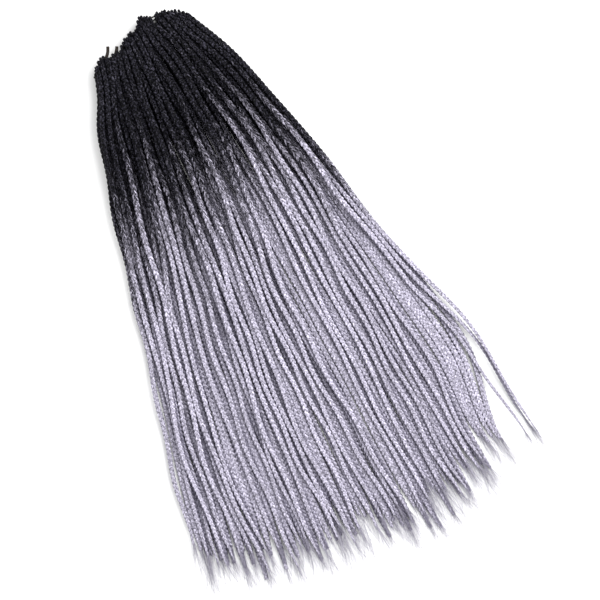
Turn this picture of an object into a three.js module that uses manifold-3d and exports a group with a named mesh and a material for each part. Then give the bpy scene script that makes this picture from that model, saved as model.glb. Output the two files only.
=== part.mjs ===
// Crochet box braid hair, laid out flat as a fan.
// Millimetres. X runs across the fan, Y from the loose tips to the crochet loops, Z up.
// The fan lies on the plane Z = 0. A share is a place across it: -1 at its left edge, 1 at its right edge.
// A run is a distance towards the tips from the curved edge of the loops, and a depth is one from the
// straight line across the outermost loop.

import * as THREE from 'three';
import { mergeVertices } from 'three/addons/utils/BufferGeometryUtils.js';
import Module from 'manifold-3d';

const wasm = await Module();
wasm.setup();

// Length of the plaits, and of the loose hair that they end in
const PLAIT_LENGTH = 555;
const WISP_LENGTH = 46;
const WISP_WIDTH = 2.2;
const ROOT_SPREAD = 1.5;
const END_SPREAD = 9;

// Outline of the fan
const ROOT_HALF_WIDTH = 55;
const FLARE = 0.203;
const SHOULDER_BULGE = 21;
const SHOULDER_DEPTH = 39;
const ROOT_ARCH = 18;
const ROOT_MIDDLE = 0.25;
const TIP_ARCH = 47;
const TIP_MIDDLE = 0.15;

// How far the hair at the right edge leans in towards its tips, and where along the run that begins and ends
const RIGHT_LEAN = 31;
const LEAN_START = 0.72;
const LEAN_END = 0.95;

// One braid
const BRAID_WIDTH = 6;
const BRAID_THICKNESS = 4.8;
const END_WIDTH = 4.4;
const NECK_WIDTH = 2.6;
const NECK_LENGTH = 14;
const BRAID_SIDES = 5;

// Locks of braids that lie on the table under the others
const UNDER_LOCKS = 10;
const BRAIDS_IN_LOCK = 6;
const LOCK_GAP = 1.2;
const LOCK_FILL = 0.8;
const LOCK_RIDGES = 4;
const RIDGE_DEPTH = 1.4;
const LOCK_TIP_SHARE = 0.6;
const LOCK_EDGE_SHARE = 0.96;
const SIDE_HEIGHT_SHARE = 0.4;
const FOOT_INSET = 1.2;
const LARGEST_FOOT_SHARE = 1 / 6;
const LARGEST_GROOVE_SHARE = 1 / 3;

// Tie through the crochet loops
const TIE_DIAMETER = 1.6;
const TIE_TO_ROOTS = 5;
const TIE_OVERHANG = 1.2;
const TIE_SIDES = 5;
const RUN_POINTS = 9;
const TURN_POINTS = 5;
const TIE_STEPS = 40;
const KNOT_DIAMETER = 4.6;
const TIE_ENDS = [
  { length: 12, along: 0.8, outward: 0.6, sag: 1.5 },
  { length: 8, along: -0.1, outward: 1, sag: 1 },
];
const TIE_END_STEPS = 3;

// Crochet loop at the root end of every braid
const LOOP_WIRE = 1.8;
const LOOP_SLACK = 2.8;
const LOOP_BEYOND_TIE = 4;
const LOOP_HOLD = 2;
const LOOP_SIDES = 5;
const LOOP_STEPS = 7;
const LOOP_FLOOR_SPACE = 0.6;
const LOOP_RISE_SHARE = 0.7;

// Free space between pieces that touch, and the distance below which two corners are one
const GAP = 0.3;
const SAME_CORNER = 1e-4;

// Sections of a braid and of a lock along its plait, closer together near the roots, where the fan bends
// most, and tests between two sections while the braids settle
const BRAID_SECTIONS = 7;
const LOCK_SECTIONS = 7;
const SECTION_GROWTH = 1.25;
const TESTS_BETWEEN = 8;

// How the groups of upper braids wander, as shares, at a quarter, half and three quarters of the length and
// at the tips, with the distance from braid to braid inside the group. The last group strays from the rest:
// it doesn't lean in with them.
const GROUPS = [
  { quarter: -0.95, half: -0.93, lower: -0.94, tip: -0.9, apart: 0.045 },
  { quarter: -0.81, half: -0.84, lower: -0.84, tip: -0.78, apart: 0.05 },
  { quarter: -0.62, half: -0.72, lower: -0.73, tip: -0.65, apart: 0.045 },
  { quarter: -0.44, half: -0.52, lower: -0.54, tip: -0.5, apart: 0.06 },
  { quarter: -0.32, half: -0.34, lower: -0.38, tip: -0.36, apart: 0.05 },
  { quarter: -0.12, half: -0.2, lower: -0.24, tip: -0.19, apart: 0.04 },
  { quarter: 0.06, half: -0.03, lower: -0.06, tip: -0.04, apart: 0.045 },
  { quarter: 0.26, half: 0.1, lower: 0.1, tip: 0.13, apart: 0.04 },
  { quarter: 0.42, half: 0.36, lower: 0.3, tip: 0.3, apart: 0.055 },
  { quarter: 0.62, half: 0.54, lower: 0.48, tip: 0.48, apart: 0.05 },
  { quarter: 0.8, half: 0.71, lower: 0.67, tip: 0.68, apart: 0.045 },
  { quarter: 0.94, half: 0.935, lower: 1, tip: 0.94, apart: 0.035 },
];
const GROUP_SIZE = 3;
const STRAY_SHARE = 0.02;
const LARGEST_SHARE = 1.07;

const BRAIDS = GROUPS.length * GROUP_SIZE;
const LOOP_OPENING = TIE_DIAMETER + LOOP_SLACK;
const LOOP_RADIUS = (LOOP_OPENING + LOOP_WIRE) / 2;
const TIE_INSET = LOOP_BEYOND_TIE + LOOP_WIRE / 2;
const ROOT_INSET = TIE_INSET + TIE_TO_ROOTS;
const PLAIT_RUN = ROOT_INSET + PLAIT_LENGTH;
const HAIR_RUN = PLAIT_RUN + WISP_LENGTH;

const hair = new THREE.MeshStandardMaterial({ color: 0xa09db0, roughness: 0.55, metalness: 0 });
const shadedHair = new THREE.MeshStandardMaterial({ color: 0x6f6c80, roughness: 0.6, metalness: 0 });
const cord = new THREE.MeshStandardMaterial({ color: 0x17161a, roughness: 0.7, metalness: 0 });

// A number from -1 to 1 that looks random and is the same on every run
function scatter(index, column) {
  const wave = Math.sin(index * 12.9898 + column * 78.233) * 43758.5453;
  return (wave - Math.floor(wave)) * 2 - 1;
}

// Half the width of the fan at a run: a straight flare, and a bulge where the outer braids leave the loops
function halfWidth(run) {
  const below = Math.max(run, 0);
  return ROOT_HALF_WIDTH + FLARE * below + SHOULDER_BULGE * (1 - Math.exp(-below / SHOULDER_DEPTH));
}

// How far the lines of one run drop at a share: they are arches that open towards the tips at the root edge,
// and towards the roots at the tips
function archDrops(share) {
  return [ROOT_ARCH * (share - ROOT_MIDDLE) ** 2, TIP_ARCH * (share - TIP_MIDDLE) ** 2];
}

// Depth of a run at a share, and the run at a depth
function depthAt(run, share) {
  const [rootDrop, tipRise] = archDrops(share);
  return run + rootDrop - ((rootDrop + tipRise) * run) / HAIR_RUN;
}

function runAt(depth, share) {
  const [rootDrop, tipRise] = archDrops(share);
  return (depth - rootDrop) / (1 - (rootDrop + tipRise) / HAIR_RUN);
}

// Place across the fan of a share at a depth, with the lean of the right edge in full, or none of it
function across(share, depth, lean = 1) {
  const run = runAt(depth, share);
  const leaning = THREE.MathUtils.smoothstep(run / HAIR_RUN, LEAN_START, LEAN_END);
  return share * halfWidth(run) - lean * RIGHT_LEAN * leaning * Math.max(share, 0) ** 2;
}

// Depth of the tie at a place across the roots: it follows the arch of the root edge
function tieDepth(x) {
  return depthAt(TIE_INSET, x / halfWidth(TIE_INSET));
}

// Depth at which the hair of a share begins, behind the tie
function rootDepth(share) {
  return tieDepth(share * halfWidth(ROOT_INSET)) + TIE_TO_ROOTS;
}

// Smooth curve through values at evenly spaced places from 0 to 1
function through(values, place) {
  const spans = values.length - 1;
  const at = Math.min(Math.max(place, 0), 1) * spans;
  const span = Math.min(Math.floor(at), spans - 1);
  const t = at - span;
  const [p0, p1, p2, p3] = [-1, 0, 1, 2].map((k) => values[Math.min(Math.max(span + k, 0), spans)]);
  const leaving = (p2 - p0) / 2;
  const arriving = (p3 - p1) / 2;
  const bend = 3 * (p2 - p1) - 2 * leaving - arriving;
  return p1 + leaving * t + bend * t ** 2 + (2 * (p1 - p2) + leaving + arriving) * t ** 3;
}

// Depths of the sections of a piece: its root, the end of its neck, the plait, and the end of its loose hair
function sectionDepths(start, plait, end, sections) {
  const depths = [start];
  const neck = start + NECK_LENGTH;
  for (let k = 0; k <= sections; k += 1) {
    depths.push(neck + (plait - neck) * (k / sections) ** SECTION_GROWTH);
  }
  return [...depths, end];
}

// Value of a piece at a depth, on the straight line between its two nearest sections
function between(rows, depth, key) {
  const next = rows.findIndex((row) => row.depth >= depth);
  if (next < 0) {
    return rows[rows.length - 1][key];
  }
  if (next === 0) {
    return rows[0][key];
  }
  const t = (depth - rows[next - 1].depth) / (rows[next].depth - rows[next - 1].depth);
  return rows[next - 1][key] * (1 - t) + rows[next][key] * t;
}

function reaches(rows, depth) {
  return depth >= rows[0].depth && depth <= rows[rows.length - 1].depth;
}

// Closed solid through upright rings of points, each with as many points as the others
function loft(rings) {
  const sides = rings[0].length;
  const last = rings.length - 1;
  const faces = [];
  for (let row = 0; row < last; row += 1) {
    for (let k = 0; k < sides; k += 1) {
      const a = row * sides + k;
      const b = row * sides + ((k + 1) % sides);
      faces.push(a, b, b + sides, a, b + sides, a + sides);
    }
  }
  const outline = (ring) => ring.map((point) => new THREE.Vector2(point.x, point.z));
  THREE.ShapeUtils.triangulateShape(outline(rings[0]), []).forEach(([a, b, c]) => {
    faces.push(a, c, b);
  });
  THREE.ShapeUtils.triangulateShape(outline(rings[last]), []).forEach(([a, b, c]) => {
    faces.push(last * sides + a, last * sides + b, last * sides + c);
  });
  const geometry = new THREE.BufferGeometry().setFromPoints(rings.flat());
  geometry.setIndex(faces);
  return geometry;
}

// Joins closed geometries into one solid
function fused(geometries) {
  const solids = geometries.map((geometry) => {
    const bare = geometry.clone();
    bare.deleteAttribute('normal');
    bare.deleteAttribute('uv');
    const merged = mergeVertices(bare, SAME_CORNER);
    const vertProperties = new Float32Array(merged.attributes.position.array);
    const triVerts = new Uint32Array(merged.index.array);
    return new wasm.Manifold(new wasm.Mesh({ numProp: 3, vertProperties, triVerts }));
  });
  const mesh = solids.reduce((whole, solid) => whole.add(solid)).getMesh();
  const geometry = new THREE.BufferGeometry();
  geometry.setAttribute('position', new THREE.Float32BufferAttribute(mesh.vertProperties, 3));
  geometry.setIndex(new THREE.Uint32BufferAttribute(mesh.triVerts, 1));
  return geometry;
}

// Height of a lock of a given width that holds its braids side by side and on each other
function lockHeight(width) {
  const braidArea = (Math.PI / 4) * BRAID_WIDTH * BRAID_THICKNESS;
  return Math.max(BRAID_THICKNESS, (BRAIDS_IN_LOCK * braidArea) / (LOCK_FILL * width));
}

// Sections of a lock that lies on the table
function underLock(index) {
  const left = LOCK_EDGE_SHARE * ((index / UNDER_LOCKS) * 2 - 1);
  const right = LOCK_EDGE_SHARE * (((index + 1) / UNDER_LOCKS) * 2 - 1);
  const middle = (left + right) / 2;
  const start = Math.max(rootDepth(left), rootDepth(right));
  const plait = depthAt(PLAIT_RUN, middle) + scatter(index, 1) * END_SPREAD;
  const end = plait + WISP_LENGTH;
  return sectionDepths(start, plait, end, LOCK_SECTIONS).map((depth) => {
    const loose = Math.max(0, (depth - plait) / (end - plait));
    const neck = depth === start ? NECK_WIDTH / BRAID_WIDTH : 1;
    const full = across(right, depth) - across(left, depth) - LOCK_GAP;
    const height = lockHeight(full) * (1 - loose) + WISP_WIDTH * loose;
    return {
      depth,
      x: (across(right, depth) + across(left, depth)) / 2,
      width: full * (1 - loose * (1 - LOCK_TIP_SHARE)),
      height: height * neck,
    };
  });
}

// Outline of a lock: flat on the table, with a row of ridges on top
function lockRing(row) {
  const side = row.width / 2;
  const foot = side - Math.min(FOOT_INSET, row.width * LARGEST_FOOT_SHARE);
  const groove = Math.min(RIDGE_DEPTH, row.height * LARGEST_GROOVE_SHARE);
  const corner = row.height * SIDE_HEIGHT_SHARE;
  const outline = [[-foot, 0], [foot, 0], [side, corner]];
  for (let k = 1; k < 2 * LOCK_RIDGES; k += 1) {
    const height = k % 2 === 1 ? row.height : row.height - groove;
    outline.push([(1 - k / LOCK_RIDGES) * side, height]);
  }
  outline.push([-side, corner]);
  return outline.map(([x, z]) => new THREE.Vector3(row.x + x, -row.depth, z));
}

// Sections of an upper braid, before it is laid down
function upperBraid(index) {
  const group = GROUPS[Math.floor(index / GROUP_SIZE)];
  const lean = group === GROUPS[GROUPS.length - 1] ? 0 : 1;
  const side = (index % GROUP_SIZE) - (GROUP_SIZE - 1) / 2;
  const root = ((index + 0.5) / BRAIDS) * 2 - 1;
  const wander = [group.quarter, group.half, group.lower, group.tip].map(
    (share, place) => share + side * group.apart + scatter(index, place + 2) * STRAY_SHARE,
  );
  const start = rootDepth(root) + ((scatter(index, 7) + 1) / 2) * ROOT_SPREAD;
  const plait = depthAt(PLAIT_RUN, wander[3]) + scatter(index, 8) * END_SPREAD;
  const end = plait + WISP_LENGTH + scatter(index, 9) * END_SPREAD;
  return sectionDepths(start, plait, end, BRAID_SECTIONS).map((depth) => {
    const free = through([root, ...wander], (depth - start) / (end - start));
    const share = Math.max(-1, Math.min(LARGEST_SHARE, free));
    let width = BRAID_WIDTH + (END_WIDTH - BRAID_WIDTH) * ((depth - start) / (plait - start));
    if (depth === start) {
      width = NECK_WIDTH;
    }
    if (depth === end) {
      width = WISP_WIDTH;
    }
    return {
      depth,
      x: across(share, depth, lean) - (share * width) / 2,
      side: width / 2,
      rise: (width / 2) * (BRAID_THICKNESS / BRAID_WIDTH),
      z: 0,
    };
  });
}

function braidRing(row) {
  const points = [];
  for (let k = 0; k < BRAID_SIDES; k += 1) {
    const angle = (k / BRAID_SIDES) * Math.PI * 2;
    const x = row.x + Math.cos(angle) * row.side;
    points.push(new THREE.Vector3(x, -row.depth, row.z + Math.sin(angle) * row.rise));
  }
  return points;
}

// Height at which a braid clears the locks and the braids laid before it, at one depth
function heightNeeded(rows, depth, locks, laid) {
  const x = between(rows, depth, 'x');
  const side = between(rows, depth, 'side');
  const rise = between(rows, depth, 'rise');
  let height = rise + GAP;
  locks.filter((lock) => reaches(lock, depth)).forEach((lock) => {
    const reach = between(lock, depth, 'width') / 2 + side + GAP;
    if (Math.abs(x - between(lock, depth, 'x')) < reach) {
      height = Math.max(height, between(lock, depth, 'height') + GAP + rise);
    }
  });
  laid.filter((other) => reaches(other, depth)).forEach((other) => {
    const sideward = side + between(other, depth, 'side') + GAP;
    const upward = rise + between(other, depth, 'rise') + GAP;
    const offset = Math.abs(x - between(other, depth, 'x')) / sideward;
    if (offset < 1) {
      height = Math.max(height, between(other, depth, 'z') + upward * Math.sqrt(1 - offset ** 2));
    }
  });
  return height;
}

// Lays a braid down: each section rises to the greatest height needed on the way to its neighbours
function settle(rows, locks, laid) {
  for (let span = 0; span < rows.length - 1; span += 1) {
    for (let test = 0; test <= TESTS_BETWEEN; test += 1) {
      const t = test / TESTS_BETWEEN;
      const depth = rows[span].depth * (1 - t) + rows[span + 1].depth * t;
      const height = heightNeeded(rows, depth, locks, laid);
      rows[span].z = Math.max(rows[span].z, height);
      rows[span + 1].z = Math.max(rows[span + 1].z, height);
    }
  }
}

// Crochet loop: an upright oval ring from inside the root end of a braid to beyond the tie
function crochetLoop(x, rootDepth, rootHeight, tieHeight) {
  const near = -rootDepth - LOOP_HOLD;
  const far = -tieDepth(x) + LOOP_BEYOND_TIE;
  const points = [];
  for (let k = 0; k < LOOP_STEPS; k += 1) {
    const angle = (k / LOOP_STEPS) * Math.PI * 2;
    const along = (1 + Math.cos(angle)) / 2;
    const middle = rootHeight + (tieHeight - rootHeight) * Math.min(1, along / LOOP_RISE_SHARE);
    points.push(new THREE.Vector3(x, near + (far - near) * along, middle + Math.sin(angle) * LOOP_RADIUS));
  }
  const path = new THREE.CatmullRomCurve3(points, true);
  return new THREE.TubeGeometry(path, LOOP_STEPS, LOOP_WIRE / 2, LOOP_SIDES, true);
}

// Tie: one length through the upper loops and one through the lower loops, with a turn at each end
function tieRing(reach, upperHeight, lowerHeight) {
  const middle = (upperHeight + lowerHeight) / 2;
  const turn = (upperHeight - lowerHeight) / 2;
  const points = [];
  [1, -1].forEach((side) => {
    for (let k = 0; k < RUN_POINTS; k += 1) {
      const x = side * reach * ((2 * k) / RUN_POINTS - 1);
      points.push(new THREE.Vector3(x, -tieDepth(x), middle + side * turn));
    }
    for (let k = 0; k < TURN_POINTS; k += 1) {
      const angle = (k / TURN_POINTS) * Math.PI;
      const x = side * (reach + turn * Math.sin(angle));
      points.push(new THREE.Vector3(x, -tieDepth(side * reach), middle + side * turn * Math.cos(angle)));
    }
  });
  const path = new THREE.CatmullRomCurve3(points, true, 'centripetal');
  return new THREE.TubeGeometry(path, TIE_STEPS, TIE_DIAMETER / 2, TIE_SIDES, true);
}

// Knot of the tie at the left end of the row, with its two short ends
function tieKnot(reach, upperHeight, lowerHeight) {
  const turn = (upperHeight - lowerHeight) / 2;
  const middle = new THREE.Vector3(-reach - turn, -tieDepth(-reach), (upperHeight + lowerHeight) / 2);
  const knot = new THREE.IcosahedronGeometry(KNOT_DIAMETER / 2, 1);
  knot.translate(middle.x, middle.y, middle.z);
  const corners = [];
  for (let k = 0; k < TIE_SIDES; k += 1) {
    const angle = (k / TIE_SIDES) * Math.PI * 2;
    corners.push(new THREE.Vector2(Math.cos(angle), Math.sin(angle)).multiplyScalar(TIE_DIAMETER / 2));
  }
  const ends = TIE_ENDS.map((end) => {
    const direction = new THREE.Vector3(end.along, end.outward, 0).normalize();
    const tip = middle.clone().addScaledVector(direction, end.length);
    const belly = middle.clone().add(new THREE.Vector3(0, end.length / 2, end.sag));
    tip.z -= end.sag;
    const extrudePath = new THREE.QuadraticBezierCurve3(middle, belly, tip);
    return new THREE.ExtrudeGeometry(new THREE.Shape(corners), {
      steps: TIE_END_STEPS,
      extrudePath,
      bevelEnabled: false,
    });
  });
  return [knot, ...ends];
}

const fan = new THREE.Group();

function place(name, geometry, material) {
  const mesh = new THREE.Mesh(geometry, material);
  mesh.name = name;
  fan.add(mesh);
}

function numbered(name, index) {
  return `${name}_${String(index + 1).padStart(2, '0')}`;
}

// Locks on the table first, then every other braid, and the remaining braids on top
const locks = [];
for (let index = 0; index < UNDER_LOCKS; index += 1) {
  locks.push(underLock(index));
}
const braids = [];
for (let index = 0; index < BRAIDS; index += 1) {
  braids.push(upperBraid(index));
}
const laid = [];
[0, 1].forEach((tier) => {
  for (let index = tier; index < BRAIDS; index += 2) {
    settle(braids[index], locks, laid);
    laid.push(braids[index]);
  }
});

// Heights of the two runs of the tie, and how far it reaches past the last loops
const meanRoot = braids.reduce((sum, rows) => sum + rows[0].z, 0) / BRAIDS;
const lowerTie = Math.max(locks[0][0].height / 2, LOOP_RADIUS + LOOP_WIRE / 2 + LOOP_FLOOR_SPACE);
const upperTie = Math.max(meanRoot, lowerTie + 2 * LOOP_RADIUS + LOOP_WIRE + GAP);
const lastLoop = Math.max(...braids.map((rows) => Math.abs(rows[0].x)));
const tieReach = lastLoop + LOOP_WIRE / 2 + TIE_OVERHANG;

locks.forEach((rows, index) => {
  const root = rows[0];
  const loop = crochetLoop(root.x, root.depth, lowerTie, lowerTie);
  place(numbered('under_lock', index), fused([loft(rows.map(lockRing)), loop]), shadedHair);
});
braids.forEach((rows, index) => {
  const root = rows[0];
  const loop = crochetLoop(root.x, root.depth, root.z, upperTie);
  place(numbered('braid', index), fused([loft(rows.map(braidRing)), loop]), hair);
});
place('tie', fused([tieRing(tieReach, upperTie, lowerTie), ...tieKnot(tieReach, upperTie, lowerTie)]), cord);

// The origin is under the middle of the whole fan
const bounds = new THREE.Box3().setFromObject(fan);
fan.position.set(-(bounds.min.x + bounds.max.x) / 2, -(bounds.min.y + bounds.max.y) / 2, -bounds.min.z);

const model = new THREE.Group();
model.add(fan);

export default model;
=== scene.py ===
"""Looks of the crochet box braid hair: plaits of three strands, loops, loose tips, the tie and the stage.

Metres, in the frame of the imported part: X across the fan, Y from the loose tips to the loops, Z up from the
table. A depth is a distance from the outermost loop towards the tips.
"""

import math

import bpy
import numpy as np
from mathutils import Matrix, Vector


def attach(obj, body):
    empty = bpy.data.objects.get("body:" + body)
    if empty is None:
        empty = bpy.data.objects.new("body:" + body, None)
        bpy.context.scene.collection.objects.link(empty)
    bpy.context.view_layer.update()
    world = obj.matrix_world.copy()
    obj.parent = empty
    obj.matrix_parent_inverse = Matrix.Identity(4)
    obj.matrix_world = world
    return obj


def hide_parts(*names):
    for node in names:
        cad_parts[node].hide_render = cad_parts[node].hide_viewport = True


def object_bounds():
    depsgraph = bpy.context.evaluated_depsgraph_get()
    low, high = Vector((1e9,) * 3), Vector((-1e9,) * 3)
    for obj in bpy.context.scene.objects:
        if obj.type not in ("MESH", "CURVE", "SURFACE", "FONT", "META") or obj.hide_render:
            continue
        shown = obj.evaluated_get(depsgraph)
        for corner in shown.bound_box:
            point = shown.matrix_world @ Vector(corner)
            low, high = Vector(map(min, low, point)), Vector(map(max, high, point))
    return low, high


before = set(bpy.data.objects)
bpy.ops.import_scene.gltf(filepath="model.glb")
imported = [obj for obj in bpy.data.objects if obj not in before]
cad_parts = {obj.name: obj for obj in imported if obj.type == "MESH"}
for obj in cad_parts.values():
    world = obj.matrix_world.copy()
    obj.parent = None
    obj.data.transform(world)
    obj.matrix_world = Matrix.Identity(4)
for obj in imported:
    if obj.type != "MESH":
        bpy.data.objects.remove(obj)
CAD_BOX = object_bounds()

bl_info = {
    "name": "Crochet box braid hair",
    "version": (1, 0, 0),
    "blender": (4, 5, 0),
    "location": "3D View > Sidebar > Braids",
    "description": "Builds plaited hair in the place of the packed braids and locks",
    "category": "Object",
}

BODY = "root"
HAIR_SLOT = "hair"
TIE_SLOT = "tie_cord"
HAIR_MAP = "HairMap"
# Values of every corner: how silver, how light or dark its strand, and its painted light: how far painted
# shade darkens it
HAIR_VALUES = ("silver", "tone", "light")
BRAID_NODES = sorted(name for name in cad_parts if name.startswith("braid_"))
LOCK_NODES = sorted(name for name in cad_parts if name.startswith("under_lock_"))
TOP = CAD_BOX[1][1]
TURN = 2 * math.pi
UPRIGHT = np.array([0.0, 0.0, 1.0])
SIDEWAYS = np.array([1.0, 0.0, 0.0])

# Fewest corners that make a section of a braid and of a lock, how closely their places must agree, the least
# distance between two sections, and how far beyond the first section all corners belong to the loop
BRAID_CORNERS = 5
LOCK_CORNERS = 9
ROUNDING = 6
SECTION_SPACE = 0.01
LOOP_CLEAR = 0.002
# Points of the lines that the painted shade is worked out from, a place that no painted shade reaches, and
# fine points of a braid
LINE_POINTS = 240
OUT_OF_REACH = -9.0
FINE_POINTS = 500

# Points to a turn of a plait and sides of its strands, upper and lower, and sides of the other ropes
UPPER_DETAIL = (8, 6)
LOWER_DETAIL = (6, 5)
HAIR_SIDES = 3
LOOP_SIDES = 5
CORD_SIDES = 8
FLYAWAY_POINTS = 5
# Braids at the right edge that leave the fan, and braids to each side that paint shade on a lower braid
STRAYS = 3
SHADING_NEIGHBOURS = 2
# First seeds of the random draws for the row of loops, the flyaway hairs and the lower braids
ROW_SEED = 700
FLYAWAY_SEED = 500
LOWER_ROWS_SEED = 1000
LOWER_SEED = 2000
# How silver hair is at least and at most, before the mottling, and the silver of the loops and their painted
# light, which darkens them evenly with painted shade
SILVER_RANGE = (-0.22, 1.5)
LOOP_SILVER = -0.5
LOOP_LIGHT = 0.7
# Ranges of random draws: pitch against the mean, end of a plait between its last two sections, lengths of the
# waves of sway and roll, painted light of tip hairs (how far painted shade darkens each), and height at which
# they rest
PITCH_RANGE = (0.93, 1.07)
END_RANGE = (0.1, 0.85)
SWAY_WAVES = (0.09, 0.2)
ROLL_WAVES = (0.25, 0.5)
TIP_LIGHT = (0.6, 1.0)
REST_HEIGHTS = (0.0006, 0.0035)
# Length over which the sway of a braid grows, and how far noise is moved for each strand's own tone
SWAY_GROWTH = 0.05
STRAND_SHIFT = 40


class PlaitSizes(bpy.types.PropertyGroup):
    """Sizes of one plait, as lengths and as shares of its half width or half height"""

    root_pitch: bpy.props.FloatProperty(
        name="Pitch at the roots", description="Length in which a strand crosses over and back",
        default=0.0178,
        unit="LENGTH")
    tip_pitch: bpy.props.FloatProperty(
        name="Pitch at the tips", description="The same length near the loose end", default=0.0146,
        unit="LENGTH")
    swing: bpy.props.FloatProperty(
        name="Swing", description="How far a strand swings sideways, as a share of the half width",
        default=0.54)
    weave: bpy.props.FloatProperty(
        name="Weave", description="How far a strand rises and sinks, as a share of the half height",
        default=0.5)
    strand_width: bpy.props.FloatProperty(
        name="Strand width", description="Half width of a strand, as a share of the braid's", default=0.5)
    strand_height: bpy.props.FloatProperty(
        name="Strand height", description="Half height of a strand, as a share of the braid's", default=0.54)
    fullness: bpy.props.FloatProperty(
        name="Fullness", description="Half width of a plait against that of its solid", default=1.28)
    width_scatter: bpy.props.FloatProperty(
        name="Width scatter", description="How far the widths of the plaits differ, as a share", default=0.08)
    neck_fill: bpy.props.FloatProperty(
        name="Neck fill", description="Half width of a plait at its root against that further on",
        default=0.95)
    roll: bpy.props.FloatProperty(
        name="Roll", description="How far a braid may roll from side to side", default=math.radians(16),
        unit="ROTATION")
    sway: bpy.props.FloatProperty(
        name="Sway", description="Small sideways waves of a braid", default=0.0013, unit="LENGTH")
    thin_strays: bpy.props.FloatProperty(
        name="Thin strays", description="How much thinner the three stray braids get, as a share",
        default=0.35)
    thin_start: bpy.props.FloatProperty(
        name="Thin start", description="Depth at which they begin to get thinner", default=0.385,
        unit="LENGTH")
    thin_length: bpy.props.FloatProperty(
        name="Thin length", description="Length over which they do", default=0.09, unit="LENGTH")
    taper: bpy.props.FloatProperty(
        name="Taper", description="Length over which a plait narrows at its end", default=0.03, unit="LENGTH")
    end_width: bpy.props.FloatProperty(
        name="End width", description="Width that is left at the end of a plait", default=0.55)


class RowSizes(bpy.types.PropertyGroup):
    """Sizes of the row of loops, where the braids begin"""

    narrowing: bpy.props.FloatProperty(
        name="Narrowing",
        description="Share by which the fan is drawn in at the row, as plaits are wider than solids",
        default=0.13)
    narrowing_length: bpy.props.FloatProperty(
        name="Narrowing length", description="Depth over which most of the narrowing fades", default=0.075,
        unit="LENGTH")
    lean: bpy.props.FloatProperty(
        name="Lean", description="How far the row lies to the left, fading in the same way", default=0.0045,
        unit="LENGTH")
    reach: bpy.props.FloatProperty(
        name="Reach", description="How far a plait begins before its solid, close to the tie", default=0.0075,
        unit="LENGTH")
    scatter: bpy.props.FloatProperty(
        name="Scatter", description="How far the beginnings of the plaits differ", default=0.0018,
        unit="LENGTH")
    steps: bpy.props.FloatVectorProperty(
        name="Steps",
        description="How far the row stands back at even places from its left end to its right end",
        size=11, unit="LENGTH",
        default=(0.0018, -0.0003, 0.0099, 0.013, 0.0088, 0.0085, 0.0005, 0.0028, 0.0014, 0.002, 0.0045))
    bare_place: bpy.props.FloatProperty(
        name="Bare place", description="Where the tie shows, to the right of the middle of the row",
        default=0.023,
        unit="LENGTH")
    bare_half: bpy.props.FloatProperty(
        name="Bare half width", description="Half the width of that place", default=0.0075, unit="LENGTH")
    parting: bpy.props.FloatProperty(
        name="Parting", description="How far the loops beside it are pushed aside", default=0.0016,
        unit="LENGTH")


class LowerSizes(bpy.types.PropertyGroup):
    """Sizes of the plaits that each lock on the table stands for"""

    plaits: bpy.props.IntProperty(name="Plaits", description="Plaits that a lock stands for", default=6)
    tiers: bpy.props.IntProperty(name="Tiers", description="Levels that they lie on at the roots", default=3)
    half_height: bpy.props.FloatProperty(
        name="Half height", description="Half the height of a plait", default=0.0023, unit="LENGTH")
    fill: bpy.props.FloatProperty(
        name="Fill", description="Half width of a plait against the width that it has in its lock",
        default=0.53)
    most_half: bpy.props.FloatProperty(
        name="Greatest half width", description="Half width of a plait", default=0.0032, unit="LENGTH")
    stray: bpy.props.FloatProperty(
        name="Stray", description="How far a plait strays from its place in the lock", default=0.0005,
        unit="LENGTH")
    sway: bpy.props.FloatProperty(
        name="Sway", description="Small sideways waves of a plait", default=0.0005, unit="LENGTH")
    swell: bpy.props.FloatProperty(
        name="Swell", description="How far the plaits at the right edge bow out", default=0.0085,
        unit="LENGTH")
    swell_place: bpy.props.FloatProperty(
        name="Swell place", description="Depth at which they bow out most", default=0.415, unit="LENGTH")
    swell_length: bpy.props.FloatProperty(
        name="Swell length", description="Length over which they do", default=0.07, unit="LENGTH")
    end_scatter: bpy.props.FloatProperty(
        name="End scatter", description="How far the ends of the plaits differ", default=0.007, unit="LENGTH")


class ShadeSizes(bpy.types.PropertyGroup):
    """Painted shade: light that reaches between the braids, painted into the hair's colour"""

    dark_height: bpy.props.FloatProperty(
        name="Dark height", description="Depth below the middle of a plait that gets least light",
        default=0.42)
    rise: bpy.props.FloatProperty(
        name="Rise", description="Rise over which the light grows to full, as a share of the half height",
        default=0.93)
    least: bpy.props.FloatProperty(
        name="Least light", description="Light between two plaits, as a share of full light", default=0.06)
    reach: bpy.props.FloatProperty(
        name="Reach", description="Distance from its middle within which a higher braid takes light",
        default=0.0043,
        unit="LENGTH")
    blur: bpy.props.FloatProperty(
        name="Blur", description="Width of the edge of that shade", default=0.0015, unit="LENGTH")
    height: bpy.props.FloatProperty(
        name="Height", description="Difference in height at which it takes most", default=0.002,
        unit="LENGTH")
    cover: bpy.props.FloatProperty(
        name="Cover", description="Share of the light that a higher braid takes", default=0.54)


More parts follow.
